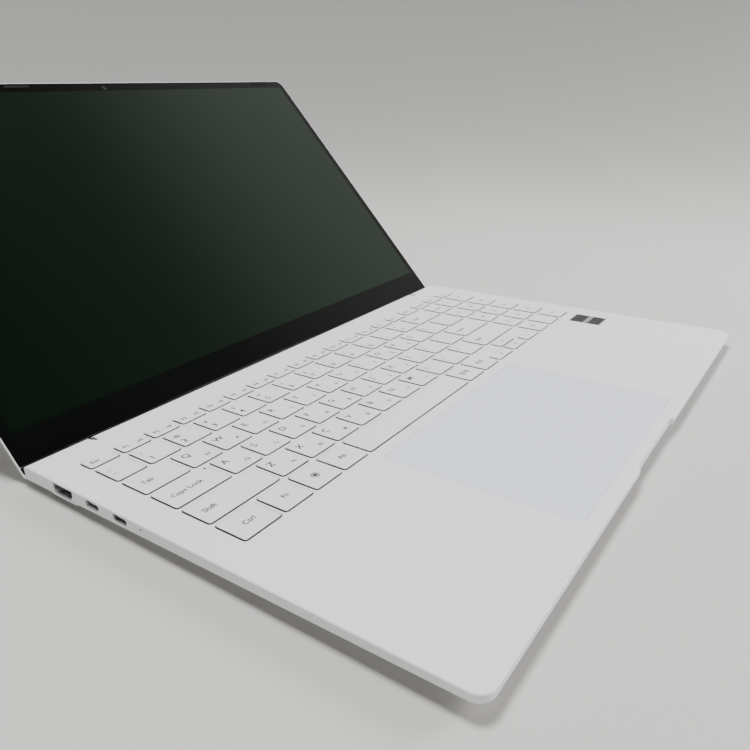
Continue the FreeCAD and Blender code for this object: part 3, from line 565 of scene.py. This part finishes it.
def make_materials():
    c = colours()
    grain_group()
    mottle_group()
    finish("white_paint", c.shell, shade_of(c.shell, 0.975), 0.52,
           variation=0.08, grain=1400, bump=0.10, dust=0.10, mottle=5)
    finish("keycap_plastic", c.keycap, shade_of(c.keycap, 0.98), 0.48,
           variation=0.08, grain=1800, bump=0.14, dust=0.06, mottle=30)
    # Painted shade for the keycap sides: a dark finish standing in for the shade in the key wells.
    finish("key_skirt", c.painted_side_shade, shade_of(c.painted_side_shade, 1.1), 0.6, grain=1800, bump=0.1, mottle=30)
    finish("legend_ink", c.ink, shade_of(c.ink, 1.2), 0.55, bump=0.05, mottle=300)
    finish("etched_glass", c.touchpad, shade_of(c.touchpad, 0.985), 0.36,
           variation=0.06, grain=2500, bump=0.05, mottle=8)
    finish("screen_border", c.border, shade_of(c.border, 1.25), 0.10,
           variation=0.03, grain=600, bump=0.0, mottle=10, specular=0.18)
    finish("screen_off", c.screen, shade_of(c.screen, 1.15), 0.13,
           variation=0.04, grain=600, bump=0.0, mottle=4, tint=(0.72, 1.0, 0.74))
    finish("soft_rubber", c.rubber, shade_of(c.rubber, 0.85), 0.78,
           variation=0.08, grain=1500, bump=0.35, dust=0.3, mottle=60)
    finish("black_rubber", (0.004, 0.004, 0.004), (0.006, 0.006, 0.006), 0.7,
           variation=0.08, grain=1500, bump=0.3, mottle=60, specular=0.15)
    finish("satin_steel", (0.60, 0.60, 0.62), (0.50, 0.50, 0.52), 0.32,
           variation=0.12, grain=700, bump=0.06, metallic=1.0, mottle=90)
    finish("socket_steel", (0.78, 0.78, 0.78), (0.62, 0.62, 0.63), 0.34,
           variation=0.12, grain=700, bump=0.06, metallic=1.0, mottle=300)
    finish("dark_plastic", (0.018, 0.018, 0.019), (0.028, 0.028, 0.028), 0.55,
           variation=0.1, grain=1200, bump=0.2, mottle=80)
    finish("board_mask", (0.015, 0.05, 0.045), (0.02, 0.065, 0.055), 0.38,
           variation=0.1, grain=500, bump=0.1, mottle=120)
    finish("bare_copper", (0.70, 0.36, 0.22), (0.55, 0.27, 0.17), 0.33,
           variation=0.12, grain=500, bump=0.05, metallic=1.0, mottle=60)
    finish("cell_wrap", (0.06, 0.06, 0.065), (0.09, 0.09, 0.095), 0.42,
           variation=0.1, grain=300, bump=0.2, mottle=30)
    finish("amber_film", (0.45, 0.26, 0.06), (0.52, 0.31, 0.08), 0.3,
           variation=0.06, grain=300, bump=0.05, mottle=40)
    finish("status_light", (0.02, 0.02, 0.02), (0.03, 0.03, 0.03), 0.35,
           grain=300, bump=0.0, mottle=40, specular=0.2)
    finish("gold_contact", (0.83, 0.60, 0.22), (0.70, 0.5, 0.2), 0.25,
           variation=0.08, grain=300, bump=0.0, metallic=1.0, mottle=300)
    finish("label_foil", (0.30, 0.31, 0.32), (0.22, 0.23, 0.24), 0.45,
           variation=0.08, grain=500, bump=0.05, mottle=260, specular=0.3)
    finish("label_dark", (0.014, 0.014, 0.017), (0.05, 0.05, 0.056), 0.5,
           variation=0.08, grain=500, bump=0.05, mottle=260, specular=0.25)
    finish("lens_glass", (0.004, 0.004, 0.008), (0.006, 0.006, 0.012), 0.04,
           variation=0.02, grain=300, bump=0.0, coat=1.0)
    finish("studio_floor", c.floor, shade_of(c.floor, 0.985), 0.75,
           grain=400, mottle=1.5, specular=0.25)
    paint_floor_shade()


def paint_floor_shade():
    """Paints shade on the studio floor as it climbs: its colour darkens, quickly at first and then less and
    less, standing in for the light falling off up the bowl's wall.
    """
    material = bpy.data.materials["studio_floor"]
    tree = material.node_tree
    coords = tree.nodes.new("ShaderNodeTexCoord")
    split = tree.nodes.new("ShaderNodeSeparateXYZ")
    scaled = math_node(tree, "MULTIPLY", split.outputs["Z"], -1.0 / FLOOR_FADE)
    fade = math_node(tree, "EXPONENT", scaled)
    climbed = math_node(tree, "SUBTRACT", 1.0, fade)
    mix = tree.nodes.new("ShaderNodeMix")
    mix.data_type = "RGBA"
    mix.inputs["B"].default_value = (*shade_of(colours().floor, PAINTED_WALL_SHADE), 1)
    paint = next(
        node for node in tree.nodes if node.type == "GROUP" and node.node_tree.name == "soft_mottle")
    tree.links.new(coords.outputs["Object"], split.inputs["Vector"])
    tree.links.new(climbed, mix.inputs["Factor"])
    tree.links.new(paint.outputs["Colour"], mix.inputs["A"])
    tree.links.new(mix.outputs["Result"], tree.nodes["Principled BSDF"].inputs["Base Color"])


def use_material(material_name, *node_names):
    """Gives CAD nodes their finish."""
    for name in node_names:
        mesh = NODES[name].data
        mesh.materials.clear()
        mesh.materials.append(bpy.data.materials[material_name])


# ---------------------------------------------------------------- operators

class LAPTOP_OT_stage(bpy.types.Operator):
    """Builds the studio bowl, the lights and the camera"""
    bl_idname = "laptop.stage"
    bl_label = "Build stage"

    def execute(self, context):
        make_materials()
        setting = context.scene.stage_settings
        self.bowl(setting)
        self.surround(context, setting)
        for name, where, target, width in STUDIO_LIGHTS:
            self.light(name, where, target, width, getattr(setting, name))
        camera = bpy.data.objects.new("camera", bpy.data.cameras.new("camera"))
        camera.location = setting.camera_place
        camera.rotation_euler = setting.camera_turn
        camera.data.lens = setting.lens
        camera.data.clip_start = NEAREST
        context.scene.collection.objects.link(camera)
        context.scene.camera = camera
        return {"FINISHED"}

    def bowl(self, setting):
        """A flat floor that curves up gently all the way round."""
        profile = [(0.02, 0.0), (setting.floor_radius, 0.0)]
        for i in range(1, BOWL_RINGS + 1):
            u = i / BOWL_RINGS
            profile.append((
                setting.floor_radius + u * (setting.bowl_radius - setting.floor_radius),
                setting.bowl_height * u ** BOWL_POWER))
        bm = bmesh.new()
        loops = []
        for r, z in profile:
            loops.append(ring(bm, circle((0, 0), r, BOWL_SIDES), z - FLOOR_DROP))
        cap(bm, loops[0])
        for low, high in zip(loops, loops[1:]):
            bridge(bm, low, high)
        floor = object_from("studio_floor", bm, [bpy.data.materials["studio_floor"]])

    def surround(self, context, setting):
        """A soft surround that is dim to the front left and pale to the right rear."""
        world = bpy.data.worlds.new("studio")
        context.scene.world = world
        world.use_nodes = True
        tree = world.node_tree
        background = tree.nodes["Background"]
        coords = tree.nodes.new("ShaderNodeTexCoord")
        dot = tree.nodes.new("ShaderNodeVectorMath")
        dot.operation = "DOT_PRODUCT"
        dot.inputs[1].default_value = PALE_SIDE
        ramp = tree.nodes.new("ShaderNodeValToRGB")
        ramp.color_ramp.interpolation = "EASE"
        first, last = ramp.color_ramp.elements
        first.position, first.color = SURROUND[0]
        last.position, last.color = SURROUND[-1]
        for position, value in SURROUND[1:-1]:
            ramp.color_ramp.elements.new(position).color = value
        tree.links.new(coords.outputs["Generated"], dot.inputs[0])
        tree.links.new(dot.outputs["Value"], ramp.inputs["Fac"])
        tree.links.new(ramp.outputs["Color"], background.inputs["Color"])
        background.inputs["Strength"].default_value = setting.sky

    def light(self, name, where, target, width, watts):
        """A round soft lamp that looks at its target."""
        lamp = bpy.data.lights.new(name, "AREA")
        lamp.shape = "DISK"
        lamp.size = width
        lamp.energy = watts
        holder = bpy.data.objects.new(name, lamp)
        holder.location = where
        aim = Vector(target) - Vector(where)
        holder.rotation_euler = aim.to_track_quat("-Z", "Y").to_euler()
        bpy.context.scene.collection.objects.link(holder)


class LAPTOP_OT_casing(bpy.types.Operator):
    """Paints the casing, feet, screws, sockets and everything inside"""
    bl_idname = "laptop.casing"
    bl_label = "Finish casing"

    def execute(self, context):
        use_material("white_paint", "top_case", "bottom_cover", "lid_cover")
        use_material("soft_rubber", "rubber_feet")
        use_material("black_rubber", "lid_bumpers", "hinge_cap")
        use_material(
            "satin_steel", "bottom_screws", "keyboard_plate", "hinge_brackets", "hinge_pins", "hinge_arms")
        use_material("socket_steel", "hdmi_socket", "usb_c_sockets", "usb_a_socket", "card_slot")
        use_material(
            "dark_plastic", "audio_jack", "fan_housings", "fan_rotor_left", "fan_rotor_right",
            "battery_frame", "speakers", "touchpad_switch", "webcam_module", "antennas")
        use_material("amber_film", "key_contact_sheet", "display_cable")
        use_material(
            "board_mask", "main_board", "socket_boards", "ssd_module", "wireless_card", "display_board",
            "processor")
        use_material("bare_copper", "heat_pipe", "heat_spreader", "cooling_fins")
        use_material("cell_wrap", "battery_cells")
        use_material("status_light", "charge_light")
        use_material("screen_off", "display_panel")
        return {"FINISHED"}


class LAPTOP_OT_keycaps(bpy.types.Operator):
    """Builds every keycap with softly rolled edges and shade painted dark on its sides"""
    bl_idname = "laptop.keycaps"
    bl_label = "Build keycaps"

    def execute(self, context):
        size = sizes()
        plastic = bpy.data.materials["keycap_plastic"]
        painted_side_shade = bpy.data.materials["key_skirt"]
        for node in KEY_NODES:
            bm = bmesh.new()
            slit = size.key_slit
            for low, high in sorted_caps(node):
                soft_slab(
                    bm, low.x + slit, high.x - slit, low.y + slit, high.y - slit, low.z, high.z,
                    # Each cap's sides get the painted shade material.
                    size.key_corner, size.key_round, painted_side_shade=1)
            place(object_from(node + "_caps", bm, [plastic, painted_side_shade]), node, node)
        return {"FINISHED"}


class LAPTOP_OT_legends(bpy.types.Operator):
    """Prints the thin generic legends on the keys"""
    bl_idname = "laptop.legends"
    bl_label = "Print legends"

    def execute(self, context):
        ink = bpy.data.materials["legend_ink"]
        for node in KEY_NODES:
            bm = bmesh.new()
            for i, (low, high) in enumerate(sorted_caps(node)):
                self.legend(bm, node, i, low, high)
            if not bm.faces:
                bm.free()
                continue
            place(object_from(node + "_legends", bm, [ink]), node)
        return {"FINISHED"}

    def legend(self, bm, node, i, low, high):
        size = sizes()
        ink = size.ink_thickness
        z = high.z

        def put(table, height, x, y, align="LEFT"):
            marks = table.get(node, [])
            if i < len(marks) and marks[i]:
                text_into(bm, marks[i], height, x, y, z, ink, align)

        middle = (low + high) / 2
        left = low.x + LETTER_MARGIN
        if node == "function_keys":
            put(LATIN, size.small_height, left, middle.y - SMALL_DROP)
        elif node == "numpad_keys":
            height = size.letter_height if i else size.small_height
            put(LATIN, height, middle.x, middle.y - NUMPAD_DROP, "CENTER")
        elif node == "modifier_keys":
            put(WORDS, size.word_height, middle.x, middle.y - MODIFIER_DROP, "CENTER")
        elif node in WORDS:
            put(WORDS, size.word_height, low.x + WORD_MARGIN, middle.y - WORD_DROP)
        else:
            upper = high.y - LETTER_DROP
            line = low.y + FIGURE_RISE if node == "number_keys" else upper
            put(LATIN, size.letter_height, left, line)
            put(SHIFTED, size.small_height, left, upper + SHIFTED_RISE)
            put(JAMO, size.jamo_height, high.x - JAMO_MARGIN, low.y + JAMO_RISE, "RIGHT")
        self.symbols(bm, node, i, low, high, z, z + ink)

    def symbols(self, bm, node, i, low, high, z, top):
        """The marks that are drawn and not written: level bars, power, a plain ring and four arrows."""
        middle = (low + high) / 2
        if node == "function_keys" and 0 < i <= 12:
            for k in range(3):
                x0 = high.x - LEVEL_MARGIN + LEVEL_STEP * k
                y1 = middle.y + LEVEL_HIGH + LEVEL_RISE * k
                solid_polygon(bm, oblong(x0, x0 + LEVEL_WIDTH, middle.y - LEVEL_DROP, y1), z, top)
        if node == "power_key":
            x, y = middle.x, middle.y - 0.1 * MM
            tube(bm, (x, y), z, top, *POWER_RING)
            solid_polygon(bm, oblong(
                x - POWER_BAR, x + POWER_BAR, y + 0.5 * MM, y + 2.0 * MM), z, top)
        if node == "modifier_keys" and i == 2:
            tube(bm, (middle.x, middle.y), z, top, *HOME_RING)
            disc(bm, (middle.x, middle.y), z, top, HOME_DOT)
        if node == "arrow_keys":
            up_key = middle.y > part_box("arrow_keys")[1].y - 5 * MM
            turn = math.radians(90 if up_key else ARROW_TURNS[i])
            points = []
            for k in range(3):
                a = turn + 2 * math.pi * k / 3
                points.append((middle.x + ARROW * math.cos(a), middle.y + ARROW * math.sin(a)))
            solid_polygon(bm, points, z, top)


class LAPTOP_OT_springs(bpy.types.Operator):
    """Builds the rubber domes and folding links under the keys, split up by key group"""
    bl_idname = "laptop.springs"
    bl_label = "Build key springs"

    def execute(self, context):
        self.under_keys("rubber_domes", "dome_rubber", "soft_rubber", "rubber")
        self.under_keys("scissor_links", "folding_links", "dark_plastic", "black_plastic")
        return {"FINISHED"}

    def under_keys(self, node, label, material_name, slot):
        """Gives each group of keys its own share of the node, attached to the base."""
        whole = bmesh.new()
        whole.from_mesh(NODES[node].data)
        solids = [(verts, box_of(verts)) for verts in separate_solids(whole)]
        whole.verts.index_update()
        owners = {}
        for key_node in KEY_NODES:
            caps = sorted_caps(key_node)
            for verts, (low, high) in solids:
                middle = (low + high) / 2
                if any(a.x < middle.x < b.x and a.y < middle.y < b.y for a, b in caps):
                    owners.update({vert.index: key_node for vert in verts})
        for key_node in KEY_NODES:
            bm = whole.copy()
            others = [vert for vert in bm.verts if owners.get(vert.index) != key_node]
            bmesh.ops.delete(bm, geom=others, context="VERTS")
            piece = object_from(key_node + "_" + label, bm, [bpy.data.materials[material_name]])
            place(piece, "base", node)
            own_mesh(piece)
        whole.free()


class LAPTOP_OT_touchpad(bpy.types.Operator):
    """Builds the flush touchpad, with a fine edge"""
    bl_idname = "laptop.touchpad"
    bl_label = "Build touchpad"

    def execute(self, context):
        low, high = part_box("touchpad")
        bm = bmesh.new()
        grow = PAD_FIT - sizes().pad_gap
        soft_slab(
            bm, low.x - grow, high.x + grow, low.y - grow, high.y + grow, low.z, high.z,
            PAD_CORNER, PAD_EDGE, steps=6, edge_steps=2)
        pad = object_from("touchpad_glass", bm, [bpy.data.materials["etched_glass"]])
        place(pad, "touchpad", "touchpad")
        return {"FINISHED"}


class LAPTOP_OT_label(bpy.types.Operator):
    """Builds the small plain label on the palm rest"""
    bl_idname = "laptop.label"
    bl_label = "Build label"

    def execute(self, context):
        low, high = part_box("palm_label")
        bm = bmesh.new()
        soft_slab(
            bm, low.x, high.x, low.y, high.y, low.z, high.z, LABEL_CORNER, LABEL_EDGE, edge_steps=2)
        bottom = low.y + LABEL_BORDER
        depth = high.y - low.y - 2 * LABEL_BORDER
        for start, stop in LABEL_FIELDS:
            points = round_rectangle(
                low.x + LABEL_BORDER, high.x - LABEL_BORDER, bottom + start * depth, bottom + stop * depth,
                [FIELD_CORNER] * 4, 3)
            solid_polygon(bm, points, high.z, high.z + PRINT, material=1)
        sheet = object_from(
            "palm_label_sheet", bm, [bpy.data.materials["label_foil"], bpy.data.materials["label_dark"]])
        place(sheet, "base", "palm_label")
        return {"FINISHED"}


class LAPTOP_OT_screen(bpy.types.Operator):
    """Builds the front glass with its black border and picture area"""
    bl_idname = "laptop.screen"
    bl_label = "Build screen"

    def execute(self, context):
        size = sizes()
        low, high = lid_box("display_glass")
        bm = bmesh.new()
        steps = 6

        def loop(inset, z):
            radii = [max(r - inset, 0.1 * MM) for r in GLASS_CORNERS]
            points = round_rectangle(
                low.x + inset, high.x - inset, low.y + inset, high.y - inset, radii, steps)
            return ring(bm, points, z)

        back = loop(0, high.z)
        cap(bm, back)
        last = back
        for i in range(4):
            a = math.pi / 2 * i / 3
            here = loop(size.glass_round * (1 - math.cos(a)), low.z + size.glass_round * (1 - math.sin(a)))
            bridge(bm, last, here)
            last = here
        picture = ring(bm, round_rectangle(
            low.x + size.screen_side, high.x - size.screen_side, low.y + size.screen_top,
            high.y - size.screen_chin, [PICTURE_CORNER] * 4, steps), low.z)
        bridge(bm, last, picture, smooth=False)
        cap(bm, picture, 1)
        bm.transform(lid_matrix())
        glass = object_from(
            "front_glass", bm, [bpy.data.materials["screen_border"], bpy.data.materials["screen_off"]])
        place(glass, "lid", "display_glass")
        self.webcam()
        return {"FINISHED"}

    def webcam(self):
        low, high = lid_box("webcam_lens")
        centre = ((low.x + high.x) / 2, (low.y + high.y) / 2)
        radius = (high.x - low.x) / 2
        face = lid_box("display_glass")[0].z
        bm = bmesh.new()
        tube(bm, centre, face - PRINT, high.z, radius * 0.62, radius)
        disc(bm, centre, face - PRINT / 2, high.z, radius * 0.6, material=1)
        beside = (centre[0] + CAMERA_LIGHT_X, centre[1])
        disc(bm, beside, face - PRINT / 2, high.z, CAMERA_LIGHT_R, material=1)
        bm.transform(lid_matrix())
        camera = object_from(
            "webcam_window", bm, [bpy.data.materials["screen_border"], bpy.data.materials["lens_glass"]])
        place(camera, "lid", "webcam_lens")


class LAPTOP_OT_details(bpy.types.Operator):
    """Adds the socket contacts and the caps-lock light"""
    bl_idname = "laptop.details"
    bl_label = "Add small details"

    def execute(self, context):
        self.contacts()
        self.caps_light()
        return {"FINISHED"}

    def contacts(self):
        """Thin gold fingers on the tongues inside the sockets."""
        bm = bmesh.new()
        rows = [(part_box("hdmi_socket"), *WIDE_FINGERS)]
        rows += [(box, *SMALL_FINGERS) for box in islands("usb_c_sockets")]
        for (low, high), count, width, lift in rows:
            z = (low.z + high.z) / 2 + lift
            middle = (low.y + high.y) / 2
            span = FINGER_SPAN * (high.y - low.y)
            x0 = low.x + FINGER_SETBACK
            for k in range(count):
                y = middle + span * ((k + 0.5) / count - 0.5)
                finger = oblong(x0, x0 + FINGER_LENGTH, y - width / 2, y + width / 2)
                solid_polygon(bm, finger, z, z + FINGER_THICKNESS)
        fingers = object_from("socket_contacts", bm, [bpy.data.materials["gold_contact"]])
        place(fingers, "base")

    def caps_light(self):
        """The small light near the rear right corner of the caps-lock key."""
        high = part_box("caps_lock_key")[1]
        bm = bmesh.new()
        centre = (high.x - CAPS_LIGHT_X, high.y - CAPS_LIGHT_Y)
        disc(bm, centre, high.z, high.z + PRINT, CAPS_LIGHT_R)
        light = object_from("caps_lock_light", bm, [bpy.data.materials["status_light"]])
        place(light, "caps_lock_key")


class LAPTOP_PT_panel(bpy.types.Panel):
    """Lists the laptop's building steps"""
    bl_idname = "LAPTOP_PT_panel"
    bl_label = "Laptop"
    bl_space_type = "VIEW_3D"
    bl_region_type = "UI"
    bl_category = "Laptop"

    def draw(self, context):
        for operator in OPERATORS:
            self.layout.operator(operator.bl_idname)


OPERATORS = (
    LAPTOP_OT_stage, LAPTOP_OT_casing, LAPTOP_OT_keycaps, LAPTOP_OT_legends, LAPTOP_OT_springs,
    LAPTOP_OT_touchpad, LAPTOP_OT_label, LAPTOP_OT_screen, LAPTOP_OT_details)
GROUPS = (LaptopSizes, LaptopColours, StageSettings)


def register():
    for cls in GROUPS + OPERATORS + (LAPTOP_PT_panel,):
        bpy.utils.register_class(cls)
    bpy.types.Scene.laptop_sizes = bpy.props.PointerProperty(type=LaptopSizes)
    bpy.types.Scene.laptop_colours = bpy.props.PointerProperty(type=LaptopColours)
    bpy.types.Scene.stage_settings = bpy.props.PointerProperty(type=StageSettings)


def unregister():
    del bpy.types.Scene.stage_settings
    del bpy.types.Scene.laptop_colours
    del bpy.types.Scene.laptop_sizes
    for cls in reversed(GROUPS + OPERATORS + (LAPTOP_PT_panel,)):
        bpy.utils.unregister_class(cls)


def main():
    register()
    for operator in OPERATORS:
        area, name = operator.bl_idname.split(".")
        getattr(getattr(bpy.ops, area), name)()


if __name__ == "__main__":
    main()
